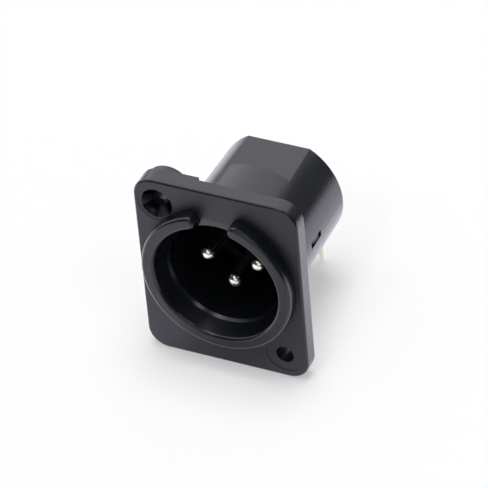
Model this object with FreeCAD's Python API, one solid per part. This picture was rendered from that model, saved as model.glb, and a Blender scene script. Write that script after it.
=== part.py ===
"""Panel socket for a round three-pin audio plug, of the kind that stands on a circuit board.

Sizes are in millimetres. The origin lies on the socket's axis, in the plane of the flange's
front face. Seen from the front, X points right, Y points into the socket and Z points up.
"""
import FreeCAD
import Part
import math
import os

from FreeCAD import Vector

# Flange: a rectangular plate of the common width, a little low of the socket's axis
FLANGE_WIDTH = 26.0
FLANGE_HEIGHT = 31.5
FLANGE_THICKNESS = 2.4
FLANGE_CORNER_RADIUS = 3.2
FLANGE_EDGE_ROUND = 0.35
AXIS_ABOVE_MIDDLE = 0.6

# Screw holes in two opposite corners, for thread-forming screws of 3 mm
SCREW_SPACING_X = 18.7
SCREW_SPACING_Z = 23.3
PLAIN_PILOT_DIAMETER = 2.8
SCREW_RECESS_DIAMETER = 6.0
SCREW_RECESS_DEPTH = 0.07
RIBBED_PILOT_DIAMETER = 2.4
RIBBED_MOUTH_DIAMETER = 5.0
RIB_COUNT = 3
RIB_ANGLE = 52.0
FIRST_RIB_DIRECTION = 55.0
RIB_SLOT_DEPTH = 2.6
RIBBED_BOSS_DIAMETER = 7.2
PLAIN_BOSS_DIAMETER = 4.8
BOSS_END = 4.7
BOSS_EDGE_ROUND = 0.3
PAD_REACH = 9.4
PAD_THICKNESS = 0.6

# Raised ring that fills the panel's cut-out, open at the top for the plug's release button
RING_OUTER_DIAMETER = 23.9
RING_MOUTH_DIAMETER = 20.0
RING_HEIGHT = 2.1
RING_END_ROUND = 0.92
RING_EDGE_ROUND = 0.6
RING_GAP = 5.4

# Stepped bore that takes the nose of the plug
THROAT_DIAMETER = 18.0
THROAT_DEPTH = 0.75
LEAD_IN_DEPTH = 1.25
GUIDE_LENGTH = 1.0
BORE_DIAMETER = 17.4
BORE_END_DIAMETER = 17.1
STOP_LEDGE_DIAMETER = 15.0
STOP_LEDGE_LENGTH = 1.6
CARRIER_FACE_DEPTH = 15.0
CARRIER_SEAT_DIAMETER = 15.8
CATCH_POCKET_WIDTH = 3.2
CATCH_POCKET_START = 3.6
CATCH_POCKET_LENGTH = 3.0
CATCH_POCKET_RADIUS = 9.4

# Tapered shell behind the flange, with a flat along the top of its rear part
SHELL_FRONT_DIAMETER = 20.4
SHELL_REAR_DIAMETER = 19.6
SHELL_END = 22.4
SHELL_EDGE_ROUND = 0.25
FLAT_START = 14.2
FLAT_HEIGHT = 8.45

# Snap windows at both sides of the shell and the arms that hook into them
WINDOW_MIDDLE = 12.0
WINDOW_LENGTH = 3.5
WINDOW_HEIGHT = 1.05
WINDOW_RISE = 0.43
ARM_HEIGHT = 2.5
ARM_THICKNESS = 0.75
ARM_OVERHANG = 0.6
NIB_PROUD = 0.5
NIB_RAMP_LENGTH = 1.3
NIB_REAR_GAP = 0.75
SNAP_CLEARANCE = 0.1

# Contact carrier
CARRIER_RECESS = 0.2
CARRIER_CLEARANCE = 0.05
CARRIER_EDGE_CHAMFER = 0.3
MOULDED_GAP = 0.01

# Pins: turned from brass rod, with the rear end drawn down and bent to the board
PIN_DIAMETER = 2.38
PIN_HALF_PITCH = 4.08
PIN_DROP = 3.96
PIN_TIP_DEPTH = 3.5
PIN_TIP_ROUND = 1.0
STEM_DIAMETER = 2.0
STEM_PROUD = 0.4
COLLAR_DIAMETER = 3.0
COLLAR_LENGTH = 1.2
COLLAR_DEPTH = 17.4
TAIL_DIAMETER = 1.35
BOARD_TAIL_DIAMETER = 1.0
BOARD_DROP = 10.3
TAIL_STANDOFF = 0.9
TAIL_BEND_RADIUS = 0.9
TAIL_TIP_DROP = 13.6
TAIL_TIP_CHAMFER = 0.2
OUTER_TAIL_OFFSET = 5.08
JOG_TOP_DROP = 4.2
JOG_BOTTOM_DROP = 6.6

# Ground contact: a stamped leaf that touches the plug's shell
LEAF_DIRECTION = 45.0
LEAF_WIDTH = 2.2
LEAF_THICKNESS = 0.35
LEAF_TIP_DEPTH = 7.2
LEAF_TIP_RADIUS = 8.15
LEAF_BOW_DEPTH = 10.0
LEAF_BOW_RADIUS = 7.75
LEAF_HEEL_DEPTH = 12.0
LEAF_HEEL_RADIUS = 8.2
LEAF_CHANNEL_CLEARANCE = 0.35
LEAF_SLOT_CLEARANCE = 0.05
STRAP_TURN_RADIUS = 3.1
STRAP_WIDTH = 1.2
GROUND_TAIL_WIDTH = 0.8
GROUND_TAIL_OFFSET = 2.2

SOCKET_AXIS = Vector(0, 1, 0)
TOP_DIRECTION = 90.0
DOWN = Vector(0, 0, -1)
FLANGE_MIDDLE_Z = -AXIS_ABOVE_MIDDLE
GUIDE_END = LEAD_IN_DEPTH + GUIDE_LENGTH
CARRIER_REAR = SHELL_END - CARRIER_RECESS
TAIL_DEPTH = SHELL_END + TAIL_STANDOFF
BEYOND = 1.0


def revolved(profile):
    """Solid of revolution about the socket's axis from corners given as (radius, depth)."""
    corners = [Vector(radius, depth, 0) for radius, depth in profile]
    face = Part.Face(Part.makePolygon(corners + corners[:1]))
    return face.revolve(Vector(), SOCKET_AXIS, 360)


def block(x_range, y_range, z_range):
    """Rectangular block between the given ends."""
    size = [high - low for low, high in (x_range, y_range, z_range)]
    return Part.makeBox(*size, Vector(x_range[0], y_range[0], z_range[0]))


def rod(diameter, y_range, x=0.0, z=0.0):
    """Cylinder along the socket's axis direction."""
    start, end = y_range
    return Part.makeCylinder(diameter / 2, end - start, Vector(x, start, z), SOCKET_AXIS)


def rounded_plate(width, height, corner_radius, y_range):
    """Plate about the flange's middle with its four corners rounded."""
    low_z = FLANGE_MIDDLE_Z - height / 2
    plate = block((-width / 2, width / 2), y_range, (low_z, low_z + height))
    upright = [edge for edge in plate.Edges if abs(edge.tangentAt(edge.FirstParameter).y) > 0.9]
    return plate.makeFillet(corner_radius, upright)


def edges_in_plane(solid, depth):
    """Edges of a solid that lie wholly at one depth."""
    return [edge for edge in solid.Edges
            if abs(edge.BoundBox.YMin - depth) < 1e-4 and abs(edge.BoundBox.YMax - depth) < 1e-4]


def screw_places():
    """Middle of the ribbed hole at the top left, then of the plain hole at the bottom right."""
    half_x = SCREW_SPACING_X / 2
    half_z = SCREW_SPACING_Z / 2
    return (-half_x, FLANGE_MIDDLE_Z + half_z), (half_x, FLANGE_MIDDLE_Z - half_z)


def screw_boss(diameter, x, z):
    """Round boss behind the flange that takes a screw."""
    boss = rod(diameter, (FLANGE_THICKNESS, BOSS_END), x, z)
    return boss.makeFillet(BOSS_EDGE_ROUND, edges_in_plane(boss, BOSS_END))


def thick_corner(x, z):
    """Pad behind the corner of the ribbed hole, with its boss."""
    y_range = (FLANGE_THICKNESS, FLANGE_THICKNESS + PAD_THICKNESS)
    side = math.copysign(1, x)
    rise = math.copysign(1, z)
    edge_x = side * FLANGE_WIDTH / 2
    edge_z = FLANGE_MIDDLE_Z + rise * FLANGE_HEIGHT / 2
    pad = block(sorted((edge_x, edge_x - side * PAD_REACH)), y_range,
                sorted((edge_z, edge_z - rise * PAD_REACH)))
    pad = pad.common(rounded_plate(FLANGE_WIDTH, FLANGE_HEIGHT, FLANGE_CORNER_RADIUS, y_range))
    return pad.fuse(screw_boss(RIBBED_BOSS_DIAMETER, x, z))


def flange():
    """Front plate with its rounded edge, the thick corner and the boss of the plain hole."""
    plate = rounded_plate(FLANGE_WIDTH, FLANGE_HEIGHT, FLANGE_CORNER_RADIUS, (0, FLANGE_THICKNESS))
    plate = plate.makeFillet(FLANGE_EDGE_ROUND, edges_in_plane(plate, 0))
    ribbed_place, plain_place = screw_places()
    return plate.fuse([thick_corner(*ribbed_place),
                       screw_boss(PLAIN_BOSS_DIAMETER, *plain_place)]).removeSplitter()


def sector(radius, direction, angle, y_range):
    """Wedge of a disc about the axis direction, centred on one direction in the XZ plane."""
    start, end = y_range
    corners = [Vector(radius * math.cos(turn), start, radius * math.sin(turn)) for turn in
               (math.radians(direction - angle / 2), math.radians(direction),
                math.radians(direction + angle / 2))]
    arc = Part.Arc(*corners).toShape()
    wire = Part.Wire([Part.makeLine(Vector(0, start, 0), corners[0]), arc,
                      Part.makeLine(corners[-1], Vector(0, start, 0))])
    return Part.Face(wire).extrude(Vector(0, end - start, 0))


def throat_radius_at(depth):
    """Radius of the conical mouth, which narrows from the ring's front to the throat."""
    share = (depth + RING_HEIGHT) / (THROAT_DEPTH + RING_HEIGHT)
    return (RING_MOUTH_DIAMETER + share * (THROAT_DIAMETER - RING_MOUTH_DIAMETER)) / 2


def raised_ring():
    """Ring with a conical inner wall, cut open at the top; its ends and front edges are round."""
    outer = RING_OUTER_DIAMETER / 2
    mouth = throat_radius_at(-RING_HEIGHT)
    ring = revolved([(throat_radius_at(0), 0), (outer, 0), (outer, -RING_HEIGHT),
                     (mouth, -RING_HEIGHT)])
    half_gap_angle = math.degrees(math.asin(RING_GAP / (outer + mouth)))
    ring = ring.cut(sector(outer + BEYOND, TOP_DIRECTION, 2 * half_gap_angle,
                           (-RING_HEIGHT - BEYOND, BEYOND)))
    end_edges = [edge for edge in ring.Edges
                 if edge.BoundBox.YLength > RING_HEIGHT / 2 and edge.BoundBox.ZMin > 0]
    ring = ring.makeFillet(RING_END_ROUND, end_edges)
    return ring.makeFillet(RING_EDGE_ROUND, edges_in_plane(ring, -RING_HEIGHT))


def shell():
    """Tapered round shell with the flat along the top of its rear part."""
    body = revolved([(0, 0), (SHELL_FRONT_DIAMETER / 2, 0), (SHELL_REAR_DIAMETER / 2, SHELL_END),
                     (0, SHELL_END)])
    reach = SHELL_FRONT_DIAMETER
    above_flat = block((-reach, reach), (FLAT_START, SHELL_END + BEYOND), (FLAT_HEIGHT, reach))
    body = body.cut(above_flat)
    return body.makeFillet(SHELL_EDGE_ROUND, edges_in_plane(body, SHELL_END))


def bore_radius_at(depth):
    """Radius of the bore, which is drafted behind its short cylindrical guide."""
    share = (depth - GUIDE_END) / (CARRIER_FACE_DEPTH - GUIDE_END)
    return (BORE_DIAMETER + share * (BORE_END_DIAMETER - BORE_DIAMETER)) / 2


def bore():
    """All that is removed along the axis: throat, lead-in, guide, bore, ledge, carrier seat."""
    ledge_front = CARRIER_FACE_DEPTH - STOP_LEDGE_LENGTH
    return revolved([
        (0, 0),
        (throat_radius_at(0), 0),
        (THROAT_DIAMETER / 2, THROAT_DEPTH),
        (BORE_DIAMETER / 2, LEAD_IN_DEPTH),
        (BORE_DIAMETER / 2, GUIDE_END),
        (bore_radius_at(ledge_front), ledge_front),
        (STOP_LEDGE_DIAMETER / 2, ledge_front),
        (STOP_LEDGE_DIAMETER / 2, CARRIER_FACE_DEPTH),
        (CARRIER_SEAT_DIAMETER / 2, CARRIER_FACE_DEPTH),
        (CARRIER_SEAT_DIAMETER / 2, SHELL_END + BEYOND),
        (0, SHELL_END + BEYOND),
    ])


def arm_outer():
    """Distance from the axis to the outer face of a snap arm."""
    return bore_radius_at(WINDOW_MIDDLE) + ARM_THICKNESS


def arm_front():
    """Depth at which a snap arm starts."""
    return WINDOW_MIDDLE - WINDOW_LENGTH / 2 - ARM_OVERHANG


def arm_channels():
    """Channels at both sides of the bore for the snap arms, and the windows for their nibs."""
    half_height = ARM_HEIGHT / 2 + SNAP_CLEARANCE
    inner = STOP_LEDGE_DIAMETER / 2 - BEYOND
    outer = arm_outer() + SNAP_CLEARANCE
    window_y = (WINDOW_MIDDLE - WINDOW_LENGTH / 2, WINDOW_MIDDLE + WINDOW_LENGTH / 2)
    cutters = []
    for side in (-1, 1):
        cutters.append(block(sorted((side * inner, side * outer)),
                             (arm_front() - SNAP_CLEARANCE, SHELL_END + BEYOND),
                             (WINDOW_RISE - half_height, WINDOW_RISE + half_height)))
        cutters.append(block(sorted((side * inner, side * SHELL_FRONT_DIAMETER / 2 + side)),
                             window_y,
                             (WINDOW_RISE - WINDOW_HEIGHT / 2, WINDOW_RISE + WINDOW_HEIGHT / 2)))
    return cutters


def turned_to_leaf(solid):
    """Turn a solid made at the top of the bore to the ground leaf's place."""
    turned = solid.copy()
    turned.rotate(Vector(), SOCKET_AXIS, 90 - LEAF_DIRECTION)
    return turned


def leaf_rest_radius():
    """Distance from the axis to the inner face of the leaf where the carrier holds it."""
    return CARRIER_SEAT_DIAMETER / 2 - CARRIER_CLEARANCE - LEAF_SLOT_CLEARANCE - LEAF_THICKNESS


def leaf_line():
    """Inner side of the ground leaf as (radius, depth), from its tip to the slot in the carrier."""
    return [(LEAF_TIP_RADIUS, LEAF_TIP_DEPTH), (LEAF_BOW_RADIUS, LEAF_BOW_DEPTH),
            (LEAF_HEEL_RADIUS, LEAF_HEEL_DEPTH),
            (leaf_rest_radius(), CARRIER_FACE_DEPTH - STOP_LEDGE_LENGTH)]


def leaf_channel():
    """Channel in the bore's wall and the stop ledge where the ground leaf lies."""
    half_width = LEAF_WIDTH / 2 + SNAP_CLEARANCE
    innermost = min(radius for radius, _ in leaf_line())
    outermost = max(radius for radius, _ in leaf_line()) + LEAF_THICKNESS
    return turned_to_leaf(block((-half_width, half_width),
                                (LEAF_TIP_DEPTH - LEAF_THICKNESS, CARRIER_FACE_DEPTH),
                                (innermost - SNAP_CLEARANCE,
                                 outermost + LEAF_CHANNEL_CLEARANCE)))


def catch_pocket():
    """Blind pocket in the roof of the bore where the plug's catch hooks in."""
    pocket = block((-CATCH_POCKET_WIDTH / 2, CATCH_POCKET_WIDTH / 2),
                   (CATCH_POCKET_START, CATCH_POCKET_START + CATCH_POCKET_LENGTH),
                   (0, CATCH_POCKET_RADIUS))
    return pocket.common(rod(CATCH_POCKET_RADIUS * 2, (0, SHELL_END)))


def ribbed_hole(x, z):
    """Countersunk pilot hole whose cone is cut into three ribs by deep slots."""
    pilot = RIBBED_PILOT_DIAMETER / 2
    mouth = RIBBED_MOUTH_DIAMETER / 2
    hole = revolved([(0, -BEYOND), (mouth, -BEYOND), (mouth, 0), (pilot, mouth - pilot),
                     (pilot, BOSS_END + BEYOND), (0, BOSS_END + BEYOND)])
    pitch = 360 / RIB_COUNT
    for number in range(RIB_COUNT):
        direction = FIRST_RIB_DIRECTION + (number + 0.5) * pitch
        hole = hole.fuse(sector(mouth, direction, pitch - RIB_ANGLE, (0, RIB_SLOT_DEPTH)))
    hole.translate(Vector(x, 0, z))
    return hole


def plain_hole(x, z):
    """Straight pilot hole through the flange and its boss."""
    return rod(PLAIN_PILOT_DIAMETER, (-BEYOND, BOSS_END + BEYOND), x, z)


def screw_recess(x, z):
    """Shallow round recess about a screw hole in the flange's face, ending at the ring."""
    recess = rod(SCREW_RECESS_DIAMETER, (-BEYOND, SCREW_RECESS_DEPTH), x, z)
    return recess.cut(rod(RING_OUTER_DIAMETER, (-2 * BEYOND, BEYOND)))


def make_housing():
    """Moulded housing in one piece: flange, ring, shell and all that is cut from them."""
    ribbed_place, plain_place = screw_places()
    housing = flange().fuse([raised_ring(), shell()])
    cutters = [bore(), catch_pocket(), leaf_channel(), ribbed_hole(*ribbed_place),
               plain_hole(*plain_place)]
    cutters += arm_channels()
    cutters += [screw_recess(*place) for place in screw_places()]
    return housing.cut(cutters).removeSplitter()


def pin_places():
    """Pins 1 and 2 level with the axis, pin 3 below it, each with its tail's place in X."""
    return {
        "pin_1": (-PIN_HALF_PITCH, 0.0, -OUTER_TAIL_OFFSET),
        "pin_2": (PIN_HALF_PITCH, 0.0, OUTER_TAIL_OFFSET),
        "pin_3": (0.0, -PIN_DROP, 0.0),
    }


def pin_shank(gap):
    """Turned part of a pin along the axis, grown by a gap; with none it is the pin itself."""
    radius = PIN_DIAMETER / 2 + gap
    stem = STEM_DIAMETER / 2 + gap
    collar = COLLAR_DIAMETER / 2 + gap
    tip = PIN_TIP_DEPTH - gap
    shoulder = CARRIER_FACE_DEPTH - STEM_PROUD + gap
    return revolved([
        (0, tip),
        (radius, tip),
        (radius, shoulder),
        (stem, shoulder),
        (stem, COLLAR_DEPTH - gap),
        (collar, COLLAR_DEPTH - gap),
        (collar, COLLAR_DEPTH + COLLAR_LENGTH + gap),
        (stem, COLLAR_DEPTH + COLLAR_LENGTH + gap),
        (stem, CARRIER_REAR),
        (0, CARRIER_REAR),
    ])


def tail_path(points):
    """Path of straight runs joined by tangent arcs of the tail's bending radius."""
    edges = []
    start = points[0]
    for before, corner, after in zip(points, points[1:], points[2:]):
        arriving = (corner - before).normalize()
        leaving = (after - corner).normalize()
        turn = arriving.getAngle(leaving)
        set_back = TAIL_BEND_RADIUS * math.tan(turn / 2)
        first = corner - arriving * set_back
        last = corner + leaving * set_back
        inward = (leaving - arriving).normalize()
        bulge = TAIL_BEND_RADIUS / math.cos(turn / 2) - TAIL_BEND_RADIUS
        edges.append(Part.makeLine(start, first))
        edges.append(Part.Arc(first, corner + inward * bulge, last).toShape())
        start = last
    edges.append(Part.makeLine(start, points[-1]))
    return Part.Wire(edges)


def make_pin(x, z, tail_x):
    """One pin: domed shank, collar inside the carrier, and the tail bent down to the board.

    The tail stands on the board with a shoulder, and only its thinner end passes through.
    """
    shank = pin_shank(0)
    shank = shank.makeFillet(PIN_TIP_ROUND, edges_in_plane(shank, PIN_TIP_DEPTH))
    shank.translate(Vector(x, 0, z))
    bottom = Vector(tail_x, TAIL_DEPTH, -BOARD_DROP)
    points = [Vector(x, CARRIER_REAR - BEYOND, z), Vector(x, TAIL_DEPTH, z)]
    if tail_x != x:
        points.append(Vector(x, TAIL_DEPTH, -JOG_TOP_DROP))
        points.append(Vector(tail_x, TAIL_DEPTH, -JOG_BOTTOM_DROP))
    points.append(bottom)
    section = Part.Wire(Part.makeCircle(TAIL_DIAMETER / 2, points[0], SOCKET_AXIS))
    tail = tail_path(points).makePipeShell([section], True, False, 2)
    end = Part.makeCylinder(BOARD_TAIL_DIAMETER / 2, TAIL_TIP_DROP - BOARD_DROP, bottom, DOWN)
    tip_edges = [edge for edge in end.Edges if edge.BoundBox.ZMax < -TAIL_TIP_DROP + 1e-4]
    end = end.makeChamfer(TAIL_TIP_CHAMFER, tip_edges)
    return shank.fuse([tail, end]).removeSplitter()


def make_carrier():
    """Moulded disc that holds the pins, pushed in from the rear and hooked in the windows."""
    radius = CARRIER_SEAT_DIAMETER / 2 - CARRIER_CLEARANCE
    rear_radius = radius - CARRIER_EDGE_CHAMFER
    carrier = revolved([(0, CARRIER_FACE_DEPTH), (radius, CARRIER_FACE_DEPTH),
                        (radius, CARRIER_REAR - CARRIER_EDGE_CHAMFER),
                        (rear_radius, CARRIER_REAR), (0, CARRIER_REAR)])
    outer = arm_outer()
    inner = outer - ARM_THICKNESS
    nib_half_height = WINDOW_HEIGHT / 2 - SNAP_CLEARANCE
    nib_front = WINDOW_MIDDLE - WINDOW_LENGTH / 2 + SNAP_CLEARANCE
    nib_rear = WINDOW_MIDDLE + WINDOW_LENGTH / 2 - NIB_REAR_GAP
    arm_heights = (WINDOW_RISE - ARM_HEIGHT / 2, WINDOW_RISE + ARM_HEIGHT / 2)
    nib_bottom = WINDOW_RISE - nib_half_height
    for side in (-1, 1):
        arm = block(sorted((side * inner, side * outer)), (arm_front(), CARRIER_REAR), arm_heights)
        root = block(sorted((side * (radius - BEYOND), side * outer)),
                     (CARRIER_FACE_DEPTH, CARRIER_REAR), arm_heights)
        ramp = Part.Face(Part.makePolygon([
            Vector(side * inner, nib_front, nib_bottom),
            Vector(side * outer, nib_front, nib_bottom),
            Vector(side * (outer + NIB_PROUD), nib_front + NIB_RAMP_LENGTH, nib_bottom),
            Vector(side * (outer + NIB_PROUD), nib_rear, nib_bottom),
            Vector(side * inner, nib_rear, nib_bottom),
            Vector(side * inner, nib_front, nib_bottom),
        ]))
        nib = ramp.extrude(Vector(0, 0, 2 * nib_half_height))
        carrier = carrier.fuse([arm, root, nib])
    cutters = []
    for x, z, _ in pin_places().values():
        hole = pin_shank(MOULDED_GAP)
        hole.translate(Vector(x, 0, z))
        cutters.append(hole)
    slot_half_width = LEAF_WIDTH / 2 + LEAF_SLOT_CLEARANCE
    cutters.append(turned_to_leaf(block((-slot_half_width, slot_half_width),
                                        (CARRIER_FACE_DEPTH - BEYOND, CARRIER_REAR + BEYOND),
                                        (leaf_rest_radius() - LEAF_SLOT_CLEARANCE,
                                         CARRIER_SEAT_DIAMETER))))
    return carrier.cut(cutters).removeSplitter()


def thick_line(points, width, y_range):
    """Flat strip of one width that follows points in the XZ plane, round at the corners."""
    start, end = y_range
    pieces = []
    for first, second in zip(points, points[1:]):
        run = Vector(second[0] - first[0], 0, second[1] - first[1])
        strip = block((0, run.Length), y_range, (-width / 2, width / 2))
        strip.rotate(Vector(), SOCKET_AXIS, math.degrees(math.atan2(-run.z, run.x)))
        strip.translate(Vector(first[0], 0, first[1]))
        pieces.append(strip)
    for x, z in points[1:-1]:
        pieces.append(rod(width, (start, end), x, z))
    return pieces[0].fuse(pieces[1:]).removeSplitter()


def make_ground_contact():
    """Stamped strip: bowed leaf in the bore, held in the carrier's slot, tail behind the shell."""
    rest = leaf_rest_radius()
    strap_front = SHELL_END + LEAF_SLOT_CLEARANCE
    strap_rear = strap_front + LEAF_THICKNESS
    line = leaf_line() + [(rest, strap_rear)]
    lower = [Vector(0, depth, radius) for radius, depth in line]
    upper = [point + Vector(0, 0, LEAF_THICKNESS) for point in reversed(lower)]
    side = Part.Face(Part.makePolygon(lower + upper + lower[:1]))
    leaf = side.extrude(Vector(LEAF_WIDTH, 0, 0))
    leaf.translate(Vector(-LEAF_WIDTH / 2, 0, 0))
    leaf = turned_to_leaf(leaf)
    direction = math.radians(LEAF_DIRECTION)
    top = ((rest + LEAF_THICKNESS) * math.cos(direction),
           (rest + LEAF_THICKNESS) * math.sin(direction))
    turn = (STRAP_TURN_RADIUS * math.cos(direction), STRAP_TURN_RADIUS * math.sin(direction))
    tail_top = (GROUND_TAIL_OFFSET, -BOARD_DROP)
    strap = thick_line([top, turn, tail_top], STRAP_WIDTH, (strap_front, strap_rear))
    tail = thick_line([tail_top, (GROUND_TAIL_OFFSET, -TAIL_TIP_DROP)], GROUND_TAIL_WIDTH,
                      (strap_front, strap_rear))
    return leaf.fuse([strap, tail]).removeSplitter()


def make_all():
    """Every piece of the socket by its node name."""
    pieces = {"housing": make_housing(), "contact_carrier": make_carrier()}
    for name, place in pin_places().items():
        pieces[name] = make_pin(*place)
    pieces["ground_contact"] = make_ground_contact()
    return pieces


os.makedirs("parts", exist_ok=True)
for name, shape in make_all().items():
    shape.exportStep("parts/" + name + ".step")
    print(name, "solids", len(shape.Solids), "valid", shape.isValid(), "volume", round(shape.Volume, 2))
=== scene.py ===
"""Looks of the panel socket for a round three-pin audio plug.

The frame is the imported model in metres: X to the right seen from the front, Y into the socket
along its axis, Z up, with the origin in the flange's front face.
"""
import math

import bpy
from mathutils import Matrix, Vector

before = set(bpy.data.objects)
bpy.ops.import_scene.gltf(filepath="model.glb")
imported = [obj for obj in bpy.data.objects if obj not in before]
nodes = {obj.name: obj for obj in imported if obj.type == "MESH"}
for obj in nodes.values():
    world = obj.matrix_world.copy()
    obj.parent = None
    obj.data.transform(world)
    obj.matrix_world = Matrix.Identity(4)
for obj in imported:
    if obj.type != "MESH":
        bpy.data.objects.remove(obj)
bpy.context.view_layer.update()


# Camera
# The photograph was taken with a long lens from the front, right of the socket and above it.
# Its place was fitted to the flange's straight edges and to the ring's mouth.
MM = 0.001
VIEW_AZIMUTH = math.radians(27.73)
VIEW_ELEVATION = math.radians(38.79)
VIEW_ROLL = math.radians(-5.25)
VIEW_DISTANCE = 567.5 * MM
AIMED_AT = Vector((1.95, 4.47, 3.20)) * MM
SENSOR_WIDTH = 36.0
FOCAL_LENGTH = 288.0
NEAREST_SEEN = 10 * MM

forward = Vector((-math.cos(VIEW_ELEVATION) * math.sin(VIEW_AZIMUTH),
                  math.cos(VIEW_ELEVATION) * math.cos(VIEW_AZIMUTH),
                  -math.sin(VIEW_ELEVATION)))
level_right = forward.cross(Vector((0, 0, 1))).normalized()
level_up = level_right.cross(forward)
right = level_right * math.cos(VIEW_ROLL) + level_up * math.sin(VIEW_ROLL)
up = level_up * math.cos(VIEW_ROLL) - level_right * math.sin(VIEW_ROLL)
turn = Matrix((right, up, -forward)).transposed()

camera_data = bpy.data.cameras.new("camera")
camera_data.sensor_width = SENSOR_WIDTH
camera_data.lens = FOCAL_LENGTH
camera_data.clip_start = NEAREST_SEEN
camera = bpy.data.objects.new("camera", camera_data)
camera.matrix_world = Matrix.Translation(AIMED_AT - forward * VIEW_DISTANCE) @ turn.to_4x4()
bpy.context.scene.collection.objects.link(camera)
bpy.context.scene.camera = camera
bpy.context.scene.view_settings.view_transform = "Standard"


# Floor
# A sheet of white paper. The socket leans forward a little on it, on the lower rear edge of its
# flange and the ends of its tails, so the sheet is tilted against the frame.
FLANGE_REST = Vector((0, 2.4, -16.35)) * MM
TAIL_REST = Vector((0, 23.8, -13.6)) * MM
FLOOR_SPAN = 1600 * MM
PAPER_WHITE = (0.93, 0.93, 0.935)
PAPER_ROUGHNESS = 0.9

# The paper is lit by the lamps, and a part of it glows, so that it comes out near white as in an
# overexposed studio picture. GLOW_SEEN is that part where the camera sees the paper.
PAPER_GLOW = (0.975, 0.975, 0.985)
GLOW_SEEN = 0.38

# The gloss of the plastic mirrors a paper of uneven light. The part of it that glows grows from
# GLOW_MIRRORED_NEAR to GLOW_MIRRORED_FAR between two distances from the socket, and the glow
# itself fades out between them. Both reach further to the left and to the front.
MIRRORED_GLOW = (0.97, 0.94, 1.08)
GLOW_MIRRORED_NEAR = 0.15
GLOW_MIRRORED_FAR = 0.95
GLOW_NEAR = 45 * MM
GLOW_FAR = 125 * MM
GLOW_LEFT_SHARE = 0.5
GLOW_FRONT_SHARE = 0.6

# Strength of that glow in front of the flange and behind it, and what it is multiplied by on the
# left, beside the flange and beside the shell.
GLOW_FRONT = 2.0
GLOW_BACK = 6.0
GLOW_FRONT_END = -12 * MM
GLOW_BACK_END = 22 * MM
LEFT_GLOW_FRONT = 2.6
LEFT_GLOW_BACK = 0.8
LEFT_GLOW_FRONT_END = -5 * MM
LEFT_GLOW_BACK_END = 20 * MM
LEFT_GLOW_FULL = -18 * MM
LEFT_GLOW_END = -6 * MM

# The socket's own shade, mirrored in the lower part of the flange: glow and light of the paper are
# low round a place in front of the flange. Its distances run from the height of the socket's axis.
SHADE_MIDDLE = (0, -11 * MM, 0)
SHADE_FROM = 17 * MM
SHADE_TO = 24 * MM
SHADE_SHARE = 0.6
SHADE_STRENGTH = 0.075

floor_along = (TAIL_REST - FLANGE_REST).normalized()
floor_corners = [FLANGE_REST + Vector((across, 0, 0)) + floor_along * along
                 for across, along in ((-FLOOR_SPAN, -FLOOR_SPAN), (FLOOR_SPAN, -FLOOR_SPAN),
                                       (FLOOR_SPAN, FLOOR_SPAN), (-FLOOR_SPAN, FLOOR_SPAN))]
floor_mesh = bpy.data.meshes.new("paper_floor")
floor_mesh.from_pydata(floor_corners, [], [(0, 1, 2, 3)])
floor = bpy.data.objects.new("paper_floor", floor_mesh)
bpy.context.scene.collection.objects.link(floor)


def fill(tree, socket, value):
    """Give a node's input a fixed value, or a link where the value is another node's output."""
    if isinstance(value, bpy.types.NodeSocket):
        tree.links.new(value, socket)
    else:
        socket.default_value = value


def number(tree, operation, *values):
    """Result of arithmetic on numbers."""
    node = tree.nodes.new("ShaderNodeMath")
    node.operation = operation
    for socket, value in zip(node.inputs, values):
        fill(tree, socket, value)
    return node.outputs["Value"]


def vector(tree, operation, *values):
    """Result of arithmetic on vectors; a length or a dot product is a number."""
    node = tree.nodes.new("ShaderNodeVectorMath")
    node.operation = operation
    for socket, value in zip(node.inputs, values):
        fill(tree, socket, value)
    return node.outputs["Value" if operation in ("LENGTH", "DOT_PRODUCT") else "Vector"]


def part_of(tree, place, axis):
    """One of the three numbers of a vector."""
    node = tree.nodes.new("ShaderNodeSeparateXYZ")
    fill(tree, node.inputs[0], place)
    return node.outputs[axis]


def ramp(tree, value, start, end, first, last, kind="SMOOTHSTEP"):
    """Number that goes from first to last while the value goes from start to end."""
    node = tree.nodes.new("ShaderNodeMapRange")
    node.interpolation_type = kind
    for name, given in (("Value", value), ("From Min", start), ("From Max", end),
                        ("To Min", first), ("To Max", last)):
        fill(tree, node.inputs[name], given)
    return node.outputs["Result"]


def mixed(tree, kind, factor, first, second):
    """Mix of two numbers (kind FLOAT) or of two colours (kind RGBA) by a factor."""
    node = tree.nodes.new("ShaderNodeMix")
    node.data_type = kind
    for name, given in (("Factor", factor), ("A", first), ("B", second)):
        fill(tree, node.inputs[name], given)
    return node.outputs["Result"]


paper = bpy.data.materials.new("white_paper")
paper.use_nodes = True
sheet = paper.node_tree
paper_shader = sheet.nodes["Principled BSDF"]
paper_shader.inputs["Base Color"].default_value = (*PAPER_WHITE, 1)
paper_shader.inputs["Roughness"].default_value = PAPER_ROUGHNESS
paper_shader.inputs["Specular IOR Level"].default_value = 0.0
paper_ray = sheet.nodes.new("ShaderNodeLightPath")
seen = paper_ray.outputs["Is Camera Ray"]
mirrored = paper_ray.outputs["Is Glossy Ray"]
paper_place = sheet.nodes.new("ShaderNodeTexCoord").outputs["Object"]
sideways = part_of(sheet, paper_place, "X")
backwards = part_of(sheet, paper_place, "Y")

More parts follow.
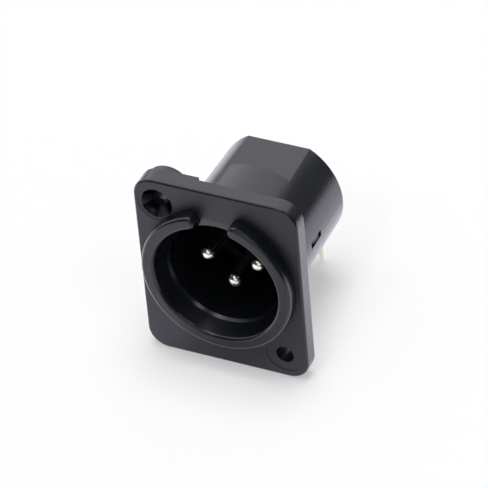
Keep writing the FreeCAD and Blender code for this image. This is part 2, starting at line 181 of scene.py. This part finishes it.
squeezed = vector(sheet, "MULTIPLY", paper_place, (GLOW_LEFT_SHARE, GLOW_FRONT_SHARE, 1))
reach = vector(sheet, "LENGTH", vector(sheet, "MAXIMUM", paper_place, squeezed))
far_share = ramp(sheet, reach, GLOW_NEAR, GLOW_FAR, GLOW_MIRRORED_NEAR, GLOW_MIRRORED_FAR)
fading = ramp(sheet, reach, GLOW_NEAR, GLOW_FAR, 1.0, 0.0)
from_shade = vector(sheet, "LENGTH", vector(sheet, "SUBTRACT", paper_place, SHADE_MIDDLE))
shade_share = ramp(sheet, from_shade, SHADE_FROM, SHADE_TO, SHADE_SHARE, 0.0)
shade_dimming = ramp(sheet, from_shade, SHADE_FROM, SHADE_TO, SHADE_STRENGTH, 1.0)
depth_glow = ramp(sheet, backwards, GLOW_FRONT_END, GLOW_BACK_END, GLOW_FRONT, GLOW_BACK)
left_most = ramp(sheet, backwards, LEFT_GLOW_FRONT_END, LEFT_GLOW_BACK_END,
                 LEFT_GLOW_FRONT, LEFT_GLOW_BACK)
left_glow = ramp(sheet, sideways, LEFT_GLOW_FULL, LEFT_GLOW_END, left_most, 1.0)

mirrored_share = number(sheet, "MULTIPLY", mirrored, number(sheet, "ADD", shade_share, far_share))
glow_share = number(sheet, "MULTIPLY_ADD", seen, GLOW_SEEN, mirrored_share)
mirrored_glow = number(sheet, "MULTIPLY", fading, depth_glow)
mirrored_glow = number(sheet, "MULTIPLY", mirrored_glow, shade_dimming)
mirrored_glow = number(sheet, "MULTIPLY", mirrored_glow, left_glow)
paper_glow = sheet.nodes.new("ShaderNodeEmission")
fill(sheet, paper_glow.inputs["Color"],
     mixed(sheet, "RGBA", seen, (*MIRRORED_GLOW, 1), (*PAPER_GLOW, 1)))
fill(sheet, paper_glow.inputs["Strength"],
     number(sheet, "MULTIPLY_ADD", mirrored, mirrored_glow, seen))
paper_mix = sheet.nodes.new("ShaderNodeMixShader")
fill(sheet, paper_mix.inputs["Fac"], glow_share)
fill(sheet, paper_mix.inputs[1], paper_shader.outputs["BSDF"])
fill(sheet, paper_mix.inputs[2], paper_glow.outputs["Emission"])
fill(sheet, sheet.nodes["Material Output"].inputs["Surface"], paper_mix.outputs["Shader"])
floor_mesh.materials.append(paper)


# Studio light
# A broad soft lamp hangs overhead and lights the paper. Three small ones, above the socket, in
# front of it and to its right, draw the highlights on pins and edges.
OVERHEAD_LAMP_PLACE = Vector((0.02, 0.06, 0.98))
OVERHEAD_LAMP_SIZE = 0.56
OVERHEAD_LAMP_POWER = 6.3
SMALL_LAMP_PLACE = Vector((-0.08, -0.27, 0.95))
SMALL_LAMP_SIZE = 0.30
SMALL_LAMP_POWER = 0.8
FRONT_LAMP_PLACE = Vector((-0.12, -0.62, 0.80))
FRONT_LAMP_SIZE = 0.12
FRONT_LAMP_POWER = 0.8
SIDE_LAMP_PLACE = Vector((0.48, -0.30, 0.80))
SIDE_LAMP_SIZE = 0.26
SIDE_LAMP_POWER = 0.6


def area_light(name, place, size, power):
    """Round soft lamp of one size in metres, turned to shine at the socket."""
    data = bpy.data.lights.new(name, "AREA")
    data.shape = "DISK"
    data.size = size
    data.energy = power
    lamp = bpy.data.objects.new(name, data)
    facing_socket = place.to_track_quat("Z", "Y").to_matrix().to_4x4()
    lamp.matrix_world = Matrix.Translation(place) @ facing_socket
    bpy.context.scene.collection.objects.link(lamp)
    return lamp


overhead_light = area_light("overhead_light", OVERHEAD_LAMP_PLACE, OVERHEAD_LAMP_SIZE,
                            OVERHEAD_LAMP_POWER)
overhead_light.visible_glossy = False
area_light("small_light", SMALL_LAMP_PLACE, SMALL_LAMP_SIZE, SMALL_LAMP_POWER)
area_light("front_light", FRONT_LAMP_PLACE, FRONT_LAMP_SIZE, FRONT_LAMP_POWER)
area_light("side_light", SIDE_LAMP_PLACE, SIDE_LAMP_SIZE, SIDE_LAMP_POWER)


# Room
# What plastic and plating mirror above the paper: a broad bright screen high behind the socket on
# the left, and a small bright panel in front of it, in a room that is dim and darkest in front.

# Limits of screen and panel are cosines of the angle to their middle.
SCREEN_SIDE = Vector((-0.542, 0.542, 0.643)).normalized()
SCREEN_BRIGHT = (1.78, 1.76, 1.84, 1)
SCREEN_OUTSIDE = 0.46
SCREEN_INSIDE = 0.61
PANEL_SIDE = Vector((0.22, -0.90, 0.33)).normalized()
PANEL_BRIGHT = (0.98, 0.97, 1.0, 1)
PANEL_OUTSIDE = 0.915
PANEL_INSIDE = 0.945
ROOM_FRONT = (0.05, 0.055, 0.065, 1)
ROOM_BACK = (0.32, 0.33, 0.36, 1)
ROOM_FRONT_END = 0.20
ROOM_BACK_END = 0.60
ROOM_FILL = (0.32, 0.32, 0.33, 1)

world = bpy.data.worlds.new("room")
bpy.context.scene.world = world
world.use_nodes = True
room = world.node_tree
room_ray = room.nodes.new("ShaderNodeLightPath")
direction = room.nodes.new("ShaderNodeTexCoord").outputs["Generated"]
on_screen = ramp(room, vector(room, "DOT_PRODUCT", direction, SCREEN_SIDE),
                 SCREEN_OUTSIDE, SCREEN_INSIDE, 0.0, 1.0)
on_panel = ramp(room, vector(room, "DOT_PRODUCT", direction, PANEL_SIDE),
                PANEL_OUTSIDE, PANEL_INSIDE, 0.0, 1.0)
at_back = ramp(room, part_of(room, direction, "Y"), ROOM_FRONT_END, ROOM_BACK_END, 0.0, 1.0)
walls = mixed(room, "RGBA", at_back, ROOM_FRONT, ROOM_BACK)
walls_and_screen = mixed(room, "RGBA", on_screen, walls, SCREEN_BRIGHT)
mirrored_room = mixed(room, "RGBA", on_panel, walls_and_screen, PANEL_BRIGHT)
lighting_room = mixed(room, "RGBA", room_ray.outputs["Is Glossy Ray"], ROOM_FILL, mirrored_room)
seen_room = mixed(room, "RGBA", room_ray.outputs["Is Camera Ray"], lighting_room, (*PAPER_GLOW, 1))
fill(room, room.nodes["Background"].inputs["Color"], seen_room)


# Housing
# One black moulding of glass-filled plastic: flange, raised ring, mouth and shell. It comes out
# of the mould with satin front faces, glossier walls, faint flow marks and a fine grain.
HOUSING_BLACK = (0.0035, 0.0050, 0.0062)
HOUSING_GREY = (0.0060, 0.0078, 0.0095)
HOUSING_ROUGHNESS = 0.27
PLASTIC_IOR = 1.5
GLOSS_TINT = (1.0, 0.975, 1.08)
GRAIN_SIZE = 0.09 * MM
GRAIN_DEPTH = 0.004 * MM
GRAIN_DETAIL = 2.0
FLOW_MARK_SIZE = 6 * MM
FLOW_MARK_DETAIL = 3.0
FLOW_MARK_GLOSSY = 0.85
FLOW_MARK_DULL = 1.15

# Faces square to the socket's axis are rougher. The limits are cosines of the angle to the front.
FRONT = (0, -1, 0)
FACE_ROUGHNESS_SHARE = 1.8
FACE_TURNED_FROM = 0.93
FACE_TURNED_TO = 0.985

# The first part of the mouth's wall is smoother, up to a radius and down to a depth.
ACROSS_THE_AXIS = (1, 0, 1)
MOUTH_ROUGHNESS_SHARE = 0.9
MOUTH_FRONT_DEPTH = 0.3 * MM
MOUTH_END_DEPTH = 1.8 * MM
MOUTH_RADIUS = 9.9 * MM
MOUTH_EDGE_RADIUS = 10.5 * MM


def noise(tree, place, scale, detail):
    """Cloudy pattern from 0 to 1 at a place."""
    node = tree.nodes.new("ShaderNodeTexNoise")
    for name, given in (("Vector", place), ("Scale", scale), ("Detail", detail)):
        fill(tree, node.inputs[name], given)
    return node.outputs["Fac"]


def make_moulded_surface():
    """Node group: mottled colour, uneven gloss and fine grain of a moulded plastic face."""
    group = bpy.data.node_groups.new("moulded_surface", "ShaderNodeTree")
    for name, kind in (("Dark", "NodeSocketColor"), ("Light", "NodeSocketColor"),
                       ("Roughness", "NodeSocketFloat"), ("Grain size", "NodeSocketFloat"),
                       ("Mark size", "NodeSocketFloat")):
        group.interface.new_socket(name, in_out="INPUT", socket_type=kind)
    for name, kind in (("Color", "NodeSocketColor"), ("Roughness", "NodeSocketFloat"),
                       ("Height", "NodeSocketFloat")):
        group.interface.new_socket(name, in_out="OUTPUT", socket_type=kind)
    taken = group.nodes.new("NodeGroupInput").outputs
    given = group.nodes.new("NodeGroupOutput").inputs
    coordinates = group.nodes.new("ShaderNodeTexCoord")
    place = coordinates.outputs["Object"]

    marks = noise(group, place, number(group, "DIVIDE", 1.0, taken["Mark size"]), FLOW_MARK_DETAIL)
    grain = noise(group, place, number(group, "DIVIDE", 1.0, taken["Grain size"]), GRAIN_DETAIL)
    unevenness = ramp(group, marks, 0.0, 1.0, FLOW_MARK_GLOSSY, FLOW_MARK_DULL, "LINEAR")

    facing = vector(group, "DOT_PRODUCT", coordinates.outputs["Normal"], FRONT)
    on_face = ramp(group, facing, FACE_TURNED_FROM, FACE_TURNED_TO, 0.0, 1.0, "LINEAR")
    face_share = mixed(group, "FLOAT", on_face, 1.0, FACE_ROUGHNESS_SHARE)
    radius = vector(group, "LENGTH", vector(group, "MULTIPLY", place, ACROSS_THE_AXIS))
    near_axis = ramp(group, radius, MOUTH_RADIUS, MOUTH_EDGE_RADIUS, 1.0, 0.0, "LINEAR")
    in_front = ramp(group, part_of(group, place, "Y"), MOUTH_FRONT_DEPTH, MOUTH_END_DEPTH,
                    1.0, 0.0, "LINEAR")
    in_mouth = number(group, "MULTIPLY", near_axis, in_front)
    share = mixed(group, "FLOAT", in_mouth, face_share, MOUTH_ROUGHNESS_SHARE)

    roughness = number(group, "MULTIPLY", unevenness, taken["Roughness"])
    fill(group, given["Color"], mixed(group, "RGBA", marks, taken["Dark"], taken["Light"]))
    fill(group, given["Roughness"], number(group, "MULTIPLY", roughness, share))
    fill(group, given["Height"], grain)
    return group


moulded_surface = make_moulded_surface()


def moulded_plastic(name, dark, light, roughness):
    """Black plastic material with its own colours and gloss."""
    material = bpy.data.materials.new(name)
    material.use_nodes = True
    tree = material.node_tree
    shader = tree.nodes["Principled BSDF"]
    surface = tree.nodes.new("ShaderNodeGroup")
    surface.node_tree = moulded_surface
    for socket, value in (("Dark", (*dark, 1)), ("Light", (*light, 1)), ("Roughness", roughness),
                          ("Grain size", GRAIN_SIZE), ("Mark size", FLOW_MARK_SIZE)):
        surface.inputs[socket].default_value = value
    bump = tree.nodes.new("ShaderNodeBump")
    bump.inputs["Distance"].default_value = GRAIN_DEPTH
    fill(tree, bump.inputs["Height"], surface.outputs["Height"])
    for socket, value in (("IOR", PLASTIC_IOR), ("Specular Tint", (*GLOSS_TINT, 1)),
                          ("Base Color", surface.outputs["Color"]),
                          ("Roughness", surface.outputs["Roughness"]),
                          ("Normal", bump.outputs["Normal"])):
        fill(tree, shader.inputs[socket], value)
    return material


nodes["housing"].material_slots[0].material = moulded_plastic(
    "black_housing", HOUSING_BLACK, HOUSING_GREY, HOUSING_ROUGHNESS)


# Contact carrier
# The disc deep in the bore that holds the pins. It is moulded of the same black plastic, with a
# duller face, and snaps into the housing's windows.
CARRIER_BLACK = (0.003, 0.003, 0.0035)
CARRIER_GREY = (0.005, 0.005, 0.0055)
CARRIER_ROUGHNESS = 0.5

nodes["contact_carrier"].material_slots[0].material = moulded_plastic(
    "black_carrier", CARRIER_BLACK, CARRIER_GREY, CARRIER_ROUGHNESS)


# Pins and ground contact
# Three turned brass pins and one stamped strip. In front of the carrier the pins are plated
# bright, with a soft dome and a polished shank, and behind it they are tinned like the strip.
PLATING = (0.82, 0.80, 0.71)
PLATING_ROUGHNESS = 0.20
TIN = (0.57, 0.53, 0.43)
TIN_ROUGHNESS = 0.34
TINNED_FROM = 15 * MM
TURNING_MARK_SIZE = 0.12 * MM
TURNING_MARK_DETAIL = 2.0
TURNING_MARK_GLOSSY = 0.8
TURNING_MARK_DULL = 1.3
DOME_END = 10.2 * MM
SHANK_FROM = 11.2 * MM
SHANK_ROUGHNESS_SHARE = 0.2


def plated_metal(name, colour, roughness, far_colour=None):
    """Plated metal with fine marks in its gloss; a pin's colour and polish change with depth."""
    material = bpy.data.materials.new(name)
    material.use_nodes = True
    tree = material.node_tree
    shader = tree.nodes["Principled BSDF"]
    shader.inputs["Metallic"].default_value = 1.0
    place = tree.nodes.new("ShaderNodeTexCoord").outputs["Object"]
    marks = noise(tree, place, 1 / TURNING_MARK_SIZE, TURNING_MARK_DETAIL)
    gloss = ramp(tree, marks, 0.0, 1.0, roughness * TURNING_MARK_GLOSSY,
                 roughness * TURNING_MARK_DULL, "LINEAR")
    tone = (*colour, 1)
    if far_colour:
        depth = part_of(tree, place, "Y")
        behind = number(tree, "GREATER_THAN", depth, TINNED_FROM)
        tone = mixed(tree, "RGBA", behind, (*colour, 1), (*far_colour, 1))
        polish = ramp(tree, depth, DOME_END, SHANK_FROM, 1.0, SHANK_ROUGHNESS_SHARE, "LINEAR")
        gloss = number(tree, "MULTIPLY", gloss, polish)
    fill(tree, shader.inputs["Base Color"], tone)
    fill(tree, shader.inputs["Roughness"], gloss)
    return material


pin_plating = plated_metal("bright_plating", PLATING, PLATING_ROUGHNESS, TIN)
for name in ("pin_1", "pin_2", "pin_3"):
    nodes[name].material_slots[0].material = pin_plating
nodes["ground_contact"].material_slots[0].material = plated_metal("tin_plating", TIN, TIN_ROUGHNESS)
